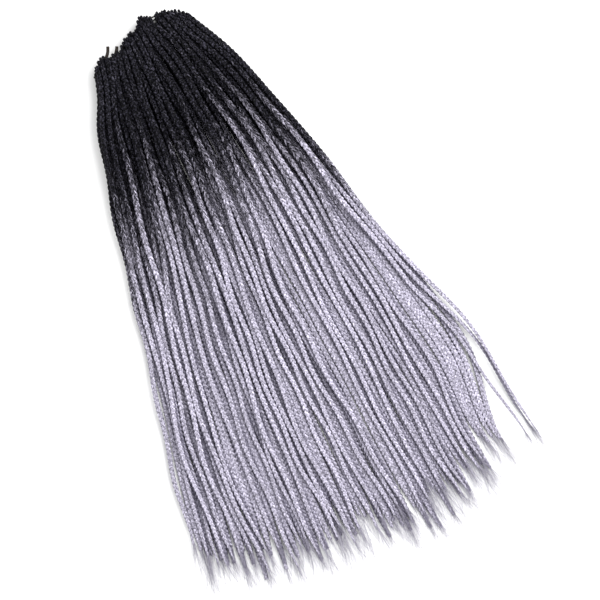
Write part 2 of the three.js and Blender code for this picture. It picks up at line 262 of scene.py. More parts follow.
class LooseHairSizes(bpy.types.PropertyGroup):
    """Sizes of the loose hair at the tips and of the hairs that stand off the plaits"""

    upper_hairs: bpy.props.IntProperty(name="Hairs at an upper tip", description="Loose hairs", default=30)
    lower_hairs: bpy.props.IntProperty(name="Hairs at a lower tip", description="Loose hairs", default=20)
    steps: bpy.props.IntProperty(name="Steps of a tip hair", description="Straight steps", default=7)
    inside: bpy.props.FloatProperty(
        name="Inside", description="How far inside the plait's end they begin", default=0.02, unit="LENGTH")
    least_reach: bpy.props.FloatProperty(
        name="Least reach", description="Shortest hair, as a share of the way to the tip", default=0.4)
    reach: bpy.props.FloatProperty(
        name="Reach", description="Longest hair, as a share of the way to the tip", default=2.4)
    overhang: bpy.props.FloatProperty(
        name="Overhang", description="How far a hair may go beyond the tip of its solid", default=0.022,
        unit="LENGTH")
    splay: bpy.props.FloatProperty(
        name="Splay", description="How far a hair's end strays sideways, as a share of its length",
        default=0.165)
    curl: bpy.props.FloatProperty(
        name="Curl", description="How far a hair waves", default=0.0016, unit="LENGTH")
    radius: bpy.props.FloatProperty(
        name="Radius", description="Half the thickness of a few fibres together", default=0.00014,
        unit="LENGTH")
    flyaways: bpy.props.IntProperty(
        name="Flyaway hairs", description="Fine hairs that stand off each plait", default=22)
    flyaway_length: bpy.props.FloatProperty(
        name="Flyaway length", description="Mean length of a flyaway hair", default=0.011, unit="LENGTH")
    flyaway_radius: bpy.props.FloatProperty(
        name="Flyaway radius", description="Half the thickness of a flyaway hair", default=0.00006,
        unit="LENGTH")


class LoopSizes(bpy.types.PropertyGroup):
    """Sizes of the crochet loops and of the tie that runs through them"""

    radius: bpy.props.FloatProperty(
        name="Loop hair radius", description="Half the thickness of one of the two plies of a loop",
        default=0.00095,
        unit="LENGTH")
    opening: bpy.props.FloatProperty(
        name="Loop half height", description="From the middle of a loop to the middle of its hair",
        default=0.0031,
        unit="LENGTH")
    scatter: bpy.props.FloatProperty(
        name="Loop scatter", description="How far the loops' outer ends differ", default=0.0016,
        unit="LENGTH")
    samples: bpy.props.IntProperty(name="Sections of a loop", description="Sections", default=20)
    twists: bpy.props.IntProperty(name="Twists of a loop", description="Turns of its two plies", default=4)
    tie_radius: bpy.props.FloatProperty(
        name="Tie radius", description="Half the thickness of the tie", default=0.0008, unit="LENGTH")
    tie_inset: bpy.props.FloatProperty(
        name="Tie inset", description="From the outer end of a loop to the tie", default=0.0028,
        unit="LENGTH")
    tie_turn: bpy.props.FloatProperty(
        name="Tie turn", description="How far the tie turns out beyond the row", default=0.0025,
        unit="LENGTH")
    end_places: bpy.props.FloatVectorProperty(
        name="Places of the ends", description="Where the tie's ends stand out, from the middle of the row",
        size=2,
        default=(-0.0368, -0.0278), unit="LENGTH")
    end_lengths: bpy.props.FloatVectorProperty(
        name="Lengths of the ends", description="How far they reach from the tie", size=2,
        default=(0.0115, 0.0085),
        unit="LENGTH")
    end_leans: bpy.props.FloatVectorProperty(
        name="Leans of the ends", description="How far they lean aside", size=2, default=(0.005, 0.0045),
        unit="LENGTH")
    end_radius: bpy.props.FloatProperty(
        name="Radius of the ends", description="Radius of the frayed ends of the tie", default=0.0017,
        unit="LENGTH")
    end_run: bpy.props.FloatProperty(
        name="Run of the ends", description="How far they follow the tie before they stand out",
        default=0.006,
        unit="LENGTH")
    knot_radius: bpy.props.FloatProperty(
        name="Knot radius", description="Half the size of the knot", default=0.0021, unit="LENGTH")


class HairColours(bpy.types.PropertyGroup):
    """Colours of the hair and where they change"""

    # Painted shade colour of the dark root hair, where little light reaches between and under the braids
    painted_root_shade: bpy.props.FloatVectorProperty(
        name="Deep colour", description="Hair between the braids near the loops",
        default=(0.0018, 0.0017, 0.0022),
        subtype="COLOR")
    root: bpy.props.FloatVectorProperty(
        name="Root colour", description="Hair near the loops", default=(0.0042, 0.004, 0.0057),
        subtype="COLOR")
    silver: bpy.props.FloatVectorProperty(
        name="Silver colour", description="Hair from the middle to the tips", default=(0.43, 0.408, 0.497),
        subtype="COLOR")
    # Painted shade colour of the silver hair, where little light reaches between and under the braids
    shade: bpy.props.FloatVectorProperty(
        name="Shade colour", description="Hair between the braids", default=(0.015, 0.011, 0.042),
        subtype="COLOR")
    fade_start: bpy.props.FloatProperty(
        name="Fade start", description="Distance from the loops at which the dark root begins to fade",
        default=0.126,
        unit="LENGTH")
    fade_length: bpy.props.FloatProperty(
        name="Fade length", description="Length of the fade", default=0.15, unit="LENGTH")
    fade_scatter: bpy.props.FloatProperty(
        name="Fade scatter", description="How far the fade moves from braid to braid", default=0.036,
        unit="LENGTH")
    edge_fade: bpy.props.FloatProperty(
        name="Edge fade", description="How much later the outermost braids fade", default=0.02, unit="LENGTH")
    fibres: bpy.props.FloatProperty(
        name="Fibres", description="Streaks of fibre round one strand", default=11)
    roughness: bpy.props.FloatProperty(name="Roughness", description="Gloss of the fibres", default=0.42)
    gloss: bpy.props.FloatProperty(name="Gloss", description="Strength of the mirrored light", default=0.06)
    tie: bpy.props.FloatVectorProperty(
        name="Tie colour", description="Elastic cord through the loops", default=(0.017, 0.012, 0.009),
        subtype="COLOR")


class StageSettings(bpy.types.PropertyGroup):
    """Floor, light and camera"""

    floor: bpy.props.FloatVectorProperty(
        name="Floor colour", description="Plain pale floor", default=(0.92, 0.92, 0.92), subtype="COLOR")
    floor_half: bpy.props.FloatProperty(
        name="Floor half side", description="Half the side of the floor", default=6.0, unit="LENGTH")
    view_across: bpy.props.FloatProperty(
        name="View across", description="Middle of the view, to the right of the middle of the box",
        default=0.0288,
        unit="LENGTH")
    view_depth: bpy.props.FloatProperty(
        name="View depth", description="Middle of the view, from the outermost loop", default=0.3367,
        unit="LENGTH")
    view_width: bpy.props.FloatProperty(
        name="View width", description="Width of the view on the floor", default=0.63, unit="LENGTH")
    lens: bpy.props.FloatProperty(name="Lens", description="Focal length in millimetres", default=85)
    turn: bpy.props.FloatProperty(
        name="Turn", description="How far the fan is turned in the view", default=math.radians(26),
        unit="ROTATION")
    key_power: bpy.props.FloatProperty(name="Key light", description="Power in watts", default=34)
    key_size: bpy.props.FloatProperty(
        name="Key size", description="Side of the light", default=1.2, unit="LENGTH")
    key_away: bpy.props.FloatProperty(
        name="Key distance", description="Sideways distance of the light", default=0.9, unit="LENGTH")
    key_height: bpy.props.FloatProperty(
        name="Key height", description="Height of the light", default=1.5, unit="LENGTH")
    sky: bpy.props.FloatProperty(name="Sky", description="Strength of the even light", default=1.0)


class BraidHairSettings(bpy.types.PropertyGroup):
    """All sizes and colours of the model"""

    plait: bpy.props.PointerProperty(type=PlaitSizes)
    row: bpy.props.PointerProperty(type=RowSizes)
    lower: bpy.props.PointerProperty(type=LowerSizes)
    shade: bpy.props.PointerProperty(type=ShadeSizes)
    loose: bpy.props.PointerProperty(type=LooseHairSizes)
    loop: bpy.props.PointerProperty(type=LoopSizes)
    colour: bpy.props.PointerProperty(type=HairColours)
    stage: bpy.props.PointerProperty(type=StageSettings)


# Reading the frame

def corners(node):
    """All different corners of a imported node."""
    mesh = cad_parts[node].data
    points = np.empty(len(mesh.vertices) * 3)
    mesh.vertices.foreach_get("co", points)
    return np.unique(points.reshape(-1, 3).round(ROUNDING), axis=0)


def sections(points, least):
    """Upright sections of a node, root first. Corners that share one y make a section when there are
    enough of them and the section before is some way off. Columns: depth, middle x, half width, lowest
    z, highest z."""
    levels, members, counts = np.unique(points[:, 1], return_inverse=True, return_counts=True)
    rows = []
    for level in np.flatnonzero(counts >= least)[::-1]:
        depth = TOP - levels[level]
        if rows and depth - rows[-1][0] < SECTION_SPACE:
            continue
        ring = points[members == level]
        low, high = ring.min(axis=0), ring.max(axis=0)
        rows.append((depth, (low[0] + high[0]) / 2, (high[0] - low[0]) / 2, low[2], high[2]))
    return np.array(rows)


def loop_of(points, rows):
    """Outer end of a node's loop: its x, depth and z."""
    loop = points[points[:, 1] > TOP - rows[0, 0] + LOOP_CLEAR]
    outer = loop[loop[:, 1] > loop[:, 1].max() - LOOP_CLEAR]
    middle = (loop.min(axis=0) + loop.max(axis=0)) / 2
    return middle[0], TOP - loop[:, 1].max(), (outer[:, 2].min() + outer[:, 2].max()) / 2


def read_node(node, least, row):
    """Sections and loop of a packed braid or lock, drawn in at the row of loops: x is made smaller by a
    share and moved left by the lean. Both fade with the exponential of the depth."""
    points = corners(node)
    rows = sections(points, least)
    x, depth, z = loop_of(points, rows)
    fade = np.exp(-rows[:, 0] / row.narrowing_length)
    rows[:, 1] = rows[:, 1] * (1 - row.narrowing * fade) - row.lean * fade
    rows[:, 2] *= 1 - row.narrowing * fade
    fade = math.exp(-depth / row.narrowing_length)
    return rows, (x * (1 - row.narrowing * fade) - row.lean * fade, depth, z)


def row_span(row):
    """x of the middle of the row of loops, and half its width."""
    left, right = (read_node(name, BRAID_CORNERS, row)[1][0] for name in (BRAID_NODES[0], BRAID_NODES[-1]))
    return (left + right) / 2, (right - left) / 2


# Curves and ropes

def hermite(knots, values, at):
    """Smooth curve through values at uneven knots: a cubic between two knots, whose slope at a knot is
    that of the parabola through the knot and its two neighbours."""
    slopes = np.gradient(values, knots, axis=0)
    span = np.clip(np.searchsorted(knots, at) - 1, 0, len(knots) - 2)
    width = (knots[span + 1] - knots[span])[:, None]
    t = (at - knots[span])[:, None] / width
    start, end = values[span], values[span + 1]
    leave, arrive = slopes[span] * width, slopes[span + 1] * width
    bend = 3 * (end - start) - 2 * leave - arrive
    return start + leave * t + bend * t ** 2 + (2 * (start - end) + leave + arrive) * t ** 3


def unit(vectors):
    """Vectors of length one."""
    return vectors / np.maximum(np.linalg.norm(vectors, axis=-1, keepdims=True), 1e-12)


def lengths(centres):
    """Distance along each path, from its start to each of its points."""
    steps = np.linalg.norm(np.diff(centres, axis=-2), axis=-1)
    return np.concatenate([np.zeros(steps.shape[:-1] + (1,)), np.cumsum(steps, axis=-1)], axis=-1)


def smooth_step(value):
    """0 below 0, 1 above 1, and an even S between."""
    t = np.clip(value, 0, 1)
    return t * t * (3 - 2 * t)


def tubes(centres, up, side, rise, sides, silver, tone, light=1.0, ring=False):
    """Ropes along paths. A point of the surface is centre + side * cos(angle) * across + rise * sin(angle)
    * upward, over a grid of length and angle. across is up x tangent, and upward is tangent x across. A
    rope that isn't a ring is closed by a flat cap at each end.

    centres has a row of points for each rope, and side, rise and silver a row of numbers. light is the
    painted light that darkens the colour with painted shade: one number, or a function that gives it for each
    point of the surface from the sines of the angles."""
    ropes, count = centres.shape[:2]
    if ring:
        tangent = unit(np.roll(centres, -1, axis=1) - np.roll(centres, 1, axis=1))
    else:
        tangent = unit(np.gradient(centres, axis=1))
    across = unit(np.cross(np.broadcast_to(up, centres.shape), tangent))
    upward = np.cross(tangent, across)
    angle = np.arange(sides) / sides * TURN - TURN / 4
    grid = centres[:, :, None, :] + (side[..., None] * np.cos(angle))[..., None] * across[:, :, None, :]
    grid = grid + (rise[..., None] * np.sin(angle))[..., None] * upward[:, :, None, :]
    index = np.arange(ropes * count * sides).reshape(ropes, count, sides)
    beside = np.roll(index, -1, axis=2)
    spans = count if ring else count - 1
    after, beside_after = np.roll(index, -1, axis=1), np.roll(beside, -1, axis=1)
    quads = np.stack([index, beside, beside_after, after], axis=-1)[:, :spans]
    along = lengths(centres)
    mean_step = along[:, -1:] / (count - 1)
    v = np.concatenate([along, along[:, -1:] + mean_step], axis=1) / (TURN * side.mean(axis=1))[:, None]
    u = np.arange(sides + 1) / sides
    shape = (ropes, spans, sides)
    low_u, high_u = np.broadcast_to(u[:-1], shape), np.broadcast_to(u[1:], shape)
    low_v, high_v = (np.broadcast_to(v[:, k:k + spans, None], shape) for k in (0, 1))
    chart = np.stack([low_u, low_v, high_u, low_v, high_u, high_v, low_u, high_v], axis=-1)
    caps = np.empty((0, sides), dtype=int) if ring else np.concatenate([index[:, 0, ::-1], index[:, -1]])
    lit = light(np.sin(angle)) if callable(light) else np.full(shape[:1] + (count, sides), light)
    return {
        "points": grid.reshape(-1, 3),
        "quads": quads.reshape(-1, 4),
        "caps": caps,
        "chart": chart.reshape(-1, 2),
        "silver": np.repeat(silver.reshape(-1), sides),
        "tone": np.repeat(tone, count * sides),
        "light": lit.reshape(-1),
    }


def joined(parts):
    """One set of arrays from several, with the corners numbered on."""
    offsets = np.cumsum([0] + [len(part["points"]) for part in parts[:-1]])
    whole = {key: np.concatenate([part[key] for part in parts]) for key in ("points", "chart", *HAIR_VALUES)}
    whole["quads"] = np.concatenate([part["quads"] + offset for part, offset in zip(parts, offsets)])
    whole["caps"] = [part["caps"] + offset for part, offset in zip(parts, offsets) if len(part["caps"])]
    return whole


def new_piece(name, parts, material, slot, *nodes):
    """One mesh object at the origin, riding on the body and standing for its nodes."""
    whole = joined(parts)
    faces = [whole["quads"], *whole["caps"]]
    sides = np.concatenate([np.full(len(group), group.shape[1]) for group in faces])
    ends = np.concatenate([group.reshape(-1) for group in faces])
    mesh = bpy.data.meshes.new(name)
    mesh.vertices.add(len(whole["points"]))
    mesh.vertices.foreach_set("co", whole["points"].reshape(-1))
    mesh.loops.add(len(ends))
    mesh.loops.foreach_set("vertex_index", ends)
    mesh.polygons.add(len(sides))
    mesh.polygons.foreach_set("loop_start", np.cumsum(sides) - sides)
    mesh.polygons.foreach_set("loop_total", sides)
    mesh.polygons.foreach_set("use_smooth", np.ones(len(sides), dtype=bool))
    chart = np.zeros((len(ends), 2))
    chart[:len(whole["chart"])] = whole["chart"]
    mesh.uv_layers.new(name=HAIR_MAP).data.foreach_set("uv", chart.reshape(-1))
    for key in HAIR_VALUES:
        mesh.attributes.new(key, "FLOAT", "POINT").data.foreach_set("value", whole[key])
    mesh.update(calc_edges=True)
    mesh.validate()
    mesh.materials.append(material)
    piece = bpy.data.objects.new(name, mesh)
    bpy.context.scene.collection.objects.link(piece)
    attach(piece, BODY)
    if nodes:
        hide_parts(*nodes)
    return piece


# Colour and painted light along the hair

def silver_at(run, delay, edge, colour):
    """Even slope from 0 where the hair begins to turn silver to 1 where it is silver. It starts at
    another distance from the loop in each braid, and later in the outermost braids."""
    late = delay * colour.fade_scatter + edge * colour.edge_fade
    return np.clip((run - colour.fade_start - late) / colour.fade_length, *SILVER_RANGE)


def centre_line(depths, x, z, grid):
    """Centre line of a braid on a row of depths: x and z. Beyond its ends the braid is out of reach."""
    places = hermite(depths, np.stack([x, z], axis=1), grid)
    places[(grid < depths[0]) | (grid > depths[-1])] = OUT_OF_REACH
    return places


def braid_lines(row):
    """Centre lines of the braids that are seen one by one, all on one row of depths."""
    grid = np.linspace(0, TOP - CAD_BOX[0][1], LINE_POINTS)
    lines = []
    for node in BRAID_NODES:
        rows = read_node(node, BRAID_CORNERS, row)[0]
        lines.append(centre_line(rows[:, 0], rows[:, 1], (rows[:, 3] + rows[:, 4]) / 2, grid))
    return grid, np.array(lines)


def sky_share(points, lines, shade):
    """Share of the light that reaches each point past the other braids, which is painted into the colour as
    shade. A braid takes its share from points that are below its middle and no further aside than its reach,
    with a soft step in height and one in distance."""
    grid, places = lines
    at = np.clip((TOP - points[:, 1]) / grid[1], 0, len(grid) - 1.001)
    low = at.astype(int)
    part = (at - low)[None, :, None]
    there = places[:, low] * (1 - part) + places[:, low + 1] * part
    near = smooth_step((shade.reach - np.abs(there[..., 0] - points[:, 0])) / shade.blur)
    above = smooth_step((there[..., 1] - points[:, 2]) / shade.height)
    return 1 - shade.cover * (near * above).max(axis=0)


# Parts of one braid

def plait_path(depths, places, halves, pitches, samples):
    """Points along a braid at even turns of the plait. The pitch changes evenly from root to tip, and
    the turn is the length divided by the pitch there, added up along the braid."""
    fine = np.linspace(depths[0], depths[-1], FINE_POINTS)
    travelled = lengths(hermite(depths, places, fine)[None])[0]
    pitch = pitches[0] + (pitches[1] - pitches[0]) * travelled / travelled[-1]
    turns = np.concatenate([[0], np.cumsum(np.diff(travelled) / ((pitch[1:] + pitch[:-1]) / 2))])
    at = np.arange(0, turns[-1] * samples) / samples
    depth = np.interp(at, turns, fine)
    half = np.stack([np.interp(depth, depths, column) for column in halves.T], axis=1)
    return depth, hermite(depths, places, depth), half, at * TURN


def strands(centre, half, turns, roll, sides, silver, tone, lines, plait, shade):
    """The three strands of one plait. Strand k is a third of a turn ahead of strand k - 1, swings
    sideways with the sine of its turn and rises with the sine of twice its turn, so that each crosses
    over the middle in its turn. The painted light on a point grows with its height in the plait, and with the
    share of the sky that it sees; where it is low, painted shade darkens the colour. Where that share is low,
    the contrast in the plait is higher."""
    tangent = unit(np.gradient(centre, axis=0))
    across = unit(np.cross(UPRIGHT, tangent))
    upward = np.cross(tangent, across)
    sideways = np.cos(roll)[:, None] * across + np.sin(roll)[:, None] * upward
    raised = np.cross(tangent, sideways)
    phase = turns[None, :] + np.arange(3)[:, None] * TURN / 3
    swing = (plait.swing * half[:, 0] * np.sin(phase))[..., None]
    weave = (plait.weave * half[:, 1] * np.sin(2 * phase))[..., None]
    paths = centre + swing * sideways + weave * raised
    side = np.tile(plait.strand_width * half[:, 0], (3, 1))
    rise = np.tile(plait.strand_height * half[:, 1], (3, 1))

    def light(lift):
        """Painted light by height, for sines of the angle round a strand: painted shade where the surface
        lies low in the plait.
        """
        height = plait.weave * np.sin(2 * phase)[..., None] + plait.strand_height * lift
        lit = smooth_step((height + shade.dark_height) / shade.rise)
        return shade.least + (1 - shade.least) * lit

    made = tubes(paths, raised, side, rise, sides, np.tile(silver, (3, 1)), tone, light)
    # Painted shade from higher braids beside: less painted light where they take the sky, with more contrast
    # there
    sky = sky_share(made["points"], lines, shade)
    made["light"] = made["light"] ** (2 - sky) * sky
    return made


def tip_hairs(centre, half, end, count, random, tone, loose):
    """Loose hairs at the end of a braid. Each starts inside the plait and runs on towards the tip. It
    strays sideways with the square of the way along it, waves a little and sinks to the table."""
    travelled = lengths(centre[None])[0]
    start = travelled[-1] - loose.inside * random.uniform(0.1, 1.0, count)
    base = np.stack([np.interp(start, travelled, centre[:, k]) for k in range(3)], axis=1)
    remaining = np.linalg.norm(end - centre[-1]) + travelled[-1] - start
    reach = loose.least_reach + (loose.reach - loose.least_reach) * random.uniform(0, 1, count) ** 2
    length = np.minimum(remaining * reach, remaining + loose.overhang * random.uniform(0.2, 1, count))
    ahead = unit((unit(centre[-1] - centre[-8]) + unit(end - centre[-1])) * np.array([1, 1, 0]))
    across = np.cross(UPRIGHT, ahead)
    place = random.uniform(-0.8, 0.8, (count, 2)) * half[-1]
    t = np.linspace(0, 1, loose.steps + 1)
    waves = random.uniform(2, 6, count)[:, None] * t + random.uniform(0, TURN, count)[:, None]
    curl = loose.curl * random.uniform(0.2, 1, count)[:, None] * (np.sin(waves) - np.sin(waves[:, :1])) * t
    splay = (np.clip(random.normal(0, 1, count), -1.8, 1.8) * loose.splay * length)[:, None] * t ** 2
    sideways = place[:, :1] * (1 - 0.4 * t) + splay + curl
    resting = random.uniform(*REST_HEIGHTS, count)[:, None]
    height = (base[:, 2:] + place[:, 1:]) * (1 - t ** 1.5) + resting * t ** 1.5
    paths = base[:, None, :] + (length[:, None] * t)[..., None] * ahead + sideways[..., None] * across
    paths[..., 2] = np.maximum(height, loose.radius * 2)
    radius = loose.radius * random.uniform(0.6, 1.5, count)[:, None] * (1 - 0.7 * t)
    tones = tone + random.normal(0, 0.5, count)
    # Painted light of each hair, at random: painted shade darkens some hairs more than others
    light = random.uniform(*TIP_LIGHT, count)[:, None, None]
    silver = np.full(paths.shape[:2], SILVER_RANGE[1])
    return tubes(paths, UPRIGHT, radius, radius, HAIR_SIDES, silver, tones, light)


def loop_ring(x, near, far, near_height, far_height, tone, sizes):
    """Crochet loop: two plies twisted round an upright oval that holds the tie."""
    t = np.arange(sizes.samples) / sizes.samples * TURN
    along = (1 + np.cos(t)) / 2
    middle = near_height + (far_height - near_height) * np.minimum(1, along * 1.4)
    height = middle + np.sin(t) * sizes.opening
    path = np.stack([np.full(len(t), x), near + (far - near) * along, height], axis=1)
    outward = np.stack([np.zeros(len(t)), np.cos(t), np.sin(t)], axis=1)
    twist = t * sizes.twists + np.array([[0], [TURN / 2]])
    offset = np.cos(twist)[..., None] * SIDEWAYS + np.sin(twist)[..., None] * outward
    plies = path + sizes.radius * 0.8 * offset
    radius = np.full((2, len(t)), sizes.radius)
    silver = np.full((2, len(t)), LOOP_SILVER)
    # The loops' painted light: painted shade darkens them evenly
    return tubes(plies, SIDEWAYS, radius, radius, LOOP_SIDES, silver, np.full(2, tone), LOOP_LIGHT, ring=True)


def braid_parts(rows, loop, seed, detail, hairs, sway, edge, lines, settings):
    """Everything of one braid: its plait, its loose tip and its loop. The columns of rows are depth, x,
    y, z, half width and half height. Sway is a sine of the depth, and roll a slower one."""
    plait, colour = settings.plait, settings.colour
    samples, sides = detail
    random = np.random.default_rng(seed)
    full = plait.fullness * (1 + random.uniform(-1, 1) * plait.width_scatter)
    depths, places, halves = rows[:, 0], rows[:, 1:4], rows[:, 4:] * full
    pitches = np.array([plait.root_pitch, plait.tip_pitch]) * random.uniform(*PITCH_RANGE)
    depth, centre, half, turns = plait_path(depths, places, halves, pitches, samples)
    last = depths[-2] + random.uniform(*END_RANGE) * (depths[-1] - depths[-2])
    depth, centre, half, turns = (values[depth < last] for values in (depth, centre, half, turns))
    narrow = smooth_step((depth - last + plait.taper) / plait.taper)
    half = half * (1 - (1 - plait.end_width) * narrow)[:, None]
    away = smooth_step((depth - depth[0]) / SWAY_GROWTH)
    wave = TURN * depth / random.uniform(*SWAY_WAVES) + random.uniform(0, TURN)
    centre[:, 0] += sway * away * np.sin(wave)
    slow = TURN * depth / random.uniform(*ROLL_WAVES) + random.uniform(0, TURN)
    roll = plait.roll * np.sin(slow) * random.uniform(0.3, 1)
    lowest = (plait.weave + plait.strand_height) * half[:, 1]
    lowest += plait.swing * half[:, 0] * np.abs(np.sin(roll))
    centre[:, 2] = np.maximum(centre[:, 2], lowest)
    silver = silver_at(depth - loop[1], random.uniform(-1, 1), edge, colour)
    tone = random.normal(0, 0.4)
    tones = tone + random.normal(0, 0.3, 3)
    turns = turns + random.uniform(0, TURN)
    made = strands(centre, half, turns, roll, sides, silver, tones, lines, plait, settings.shade)
    tip = tip_hairs(centre, half, places[-1], hairs, random, tone, settings.loose)
    far = TOP - loop[1] - settings.loop.radius + random.uniform(-1, 1) * settings.loop.scatter
    near = places[0, 1] - 2 * settings.loop.radius
    ring = loop_ring(loop[0], near, far, places[0, 2], loop[2], tone, settings.loop)
    return [made, tip, ring], (centre, half, silver, tone)


def step_back(x, span, row):
    """How far the row of loops stands back at x: a smooth curve through its steps."""
    middle, half = span
    places = middle + half * np.linspace(-1, 1, len(row.steps))
    return hermite(places, np.array(row.steps)[:, None], np.clip(x, places[0], places[-1]))[:, 0]


def set_in_row(rows, loop, random, span, row):
    """Moves the root and the loop of a braid with the steps of the row, and the root nearer to the tie.
    At the bare place, a bell curve of x, the root stays away from the tie, and root and loop are pushed
    aside."""
    away = (loop[0] - span[0] - row.bare_place) / row.bare_half
    bare = math.exp(-away ** 2)
    step = step_back(np.array([loop[0]]), span, row)[0]
    later = step - (row.reach + row.scatter * random.uniform(-1, 1)) * (1 - bare)
    aside = math.copysign(row.parting * bare, away)
    rows[0, :3] += (later, aside, -later)
    return loop[0] + aside, loop[1] + step, loop[2]


def flyaway_parts(braid, random, loose):
    """Fine short hairs that leave a plait at a low angle, more of them towards its tip."""
    centre, half, silver, tone = braid
    count, t = loose.flyaways, np.linspace(0, 1, FLYAWAY_POINTS)
    at = 12 + (random.uniform(0, 1, count) ** 0.6 * (len(centre) - 24)).astype(int)
    ahead = unit(centre[at + 2] - centre[at - 2])
    across = unit(np.cross(UPRIGHT, ahead))
    angle = random.uniform(0.02, math.pi - 0.02, count)
    out = np.cos(angle)[:, None] * across + np.sin(angle)[:, None] * UPRIGHT
    base = centre[at] + out * (half[at].mean(axis=1) * 0.75)[:, None]
    length = loose.flyaway_length * random.uniform(0.5, 1.7, count)
    lift = length * random.uniform(0.1, 0.42, count)
    paths = base[:, None, :] + (length[:, None] * t)[..., None] * ahead[:, None, :]
    paths = paths + (lift[:, None] * t * (1 - 0.3 * t))[..., None] * out[:, None, :]
    radius = np.tile(loose.flyaway_radius * (1 - 0.6 * t), (count, 1))
    silver = np.tile(silver[at][:, None], (1, FLYAWAY_POINTS))
    return tubes(paths, UPRIGHT, radius, radius, HAIR_SIDES, silver, np.full(count, tone))


# Materials

class Nodes:
    """Short ways to add nodes to a material's tree."""

    def __init__(self, name):
        self.material = bpy.data.materials.new(name)
        self.material.use_nodes = True
        self.tree = self.material.node_tree
        self.shader = self.tree.nodes["Principled BSDF"]

    def set(self, socket, value):
        """Links a socket to another, or sets its value."""
        if isinstance(value, bpy.types.NodeSocket):
            self.tree.links.new(value, socket)
        else:
            socket.default_value = value

    def add(self, kind, inputs=(), **settings):
        """A new node, its settings, and its inputs by name or number."""
        node = self.tree.nodes.new(kind)
        for key, value in settings.items():
            setattr(node, key, value)
        for key, value in dict(inputs).items():
            self.set(node.inputs[key], value)
        return node

    def value(self, name):
        """A value of the mesh's corners."""
        return self.add("ShaderNodeAttribute", attribute_name=name).outputs["Fac"]

    def math(self, operation, *values):
        """A sum, product or the like."""
        return self.add("ShaderNodeMath", dict(enumerate(values)), operation=operation).outputs[0]

    def ranged(self, value, start, end, low, high, kind="LINEAR"):
        """A value moved from one range to another, and held inside it."""
        inputs = {"Value": value, "From Min": start, "From Max": end, "To Min": low, "To Max": high}
        return self.add("ShaderNodeMapRange", inputs, interpolation_type=kind).outputs["Result"]

    def noise(self, scale, detail=2.0):
        """Noise over the strand's own map, stretched along the strand and different in each strand:
        scale is in streaks round it and in grains for each width of it along it."""
        chart = self.add("ShaderNodeUVMap", uv_map=HAIR_MAP).outputs["UV"]
        placed = self.add("ShaderNodeMapping", {"Vector": chart, "Scale": (*scale, 1)}).outputs["Vector"]
        shift = self.math("MULTIPLY", self.value("tone"), STRAND_SHIFT)
        other = self.add("ShaderNodeCombineXYZ", {"Z": shift}).outputs["Vector"]
        moved = self.add("ShaderNodeVectorMath", {0: placed, 1: other}, operation="ADD").outputs["Vector"]
        inputs = {"Vector": moved, "Scale": 1.0, "Detail": detail}
        return self.add("ShaderNodeTexNoise", inputs).outputs["Fac"]

    def blend(self, factor, first, second):
        """Mix of two colours."""
        node = self.add("ShaderNodeMix", data_type="RGBA")
        self.set(node.inputs["Factor"], factor)
        for key, colour in (("A", first), ("B", second)):
            socket = next(item for item in node.inputs if item.name == key and item.type == "RGBA")
            self.set(socket, colour if isinstance(colour, bpy.types.NodeSocket) else (*colour, 1))
        return next(item for item in node.outputs if item.type == "RGBA")

    def lit(self, colour, light):
        """Colour times a number."""
        inputs = {0: colour, "Scale": light}
        return self.add("ShaderNodeVectorMath", inputs, operation="SCALE").outputs["Vector"]

    def bump(self, height, strength, distance):
        """Raised surface."""
        inputs = {"Height": height, "Strength": strength, "Distance": distance}
        self.set(self.shader.inputs["Normal"], self.add("ShaderNodeBump", inputs).outputs["Normal"])


def hair_material(colour):
    """Fine fibres along every strand, near black at the roots and silver-lilac further down. Fibres are
    noise stretched along the strand. They mottle the fade, darken the colour, roughen the gloss and
    raise the surface. Painted glints are coarser noise that brightens the colour, strongest in the dark hair.
    The corners' painted light blends the colour towards painted shade colours."""
    nodes = Nodes("plaited hair")
    fibre = nodes.noise((colour.fibres, 0.9), 3.0)
    glint = nodes.noise((colour.fibres * 0.5, 7.0))
    mottle = nodes.ranged(fibre, 0.3, 0.7, -0.45, 0.45)
    fade = nodes.ranged(nodes.math("ADD", nodes.value("silver"), mottle), 0, 1, 0, 1, "SMOOTHSTEP")
    # Painted glints: highlights on the dark root hair, up to several times its colour
    shine = nodes.ranged(glint, 0.48, 0.66, 0.45, 6.5)
    plain = nodes.blend(fade, nodes.lit(colour.root, shine), colour.silver)
    streak = nodes.ranged(fibre, 0.3, 0.7, 0.6, 1.3)
    # Fibre grain and painted glints: specks of the fibres darker and lighter, the light ones standing for
    # highlights
    grain_and_glints = nodes.ranged(glint, 0.36, 0.64, 0.45, 1.55)
    tone = nodes.math("MULTIPLY_ADD", nodes.value("tone"), 0.1, 1.0)
    mottled = nodes.lit(plain, nodes.math("MULTIPLY", nodes.math("MULTIPLY", streak, grain_and_glints), tone))
    # Painted shade: the corners' painted light blends the colour towards a painted shade colour, near black
    # at the roots and dark lilac further down
    dark = nodes.blend(fade, colour.painted_root_shade, colour.shade)
    shaded = nodes.blend(nodes.value("light"), dark, mottled)
    nodes.set(nodes.shader.inputs["Base Color"], shaded)
    rough = nodes.ranged(fibre, 0.3, 0.7, colour.roughness - 0.1, colour.roughness + 0.14)
    nodes.set(nodes.shader.inputs["Roughness"], rough)
    nodes.set(nodes.shader.inputs["Specular IOR Level"], colour.gloss)
    nodes.bump(fibre, 0.7, 0.0003)
    return nodes.material


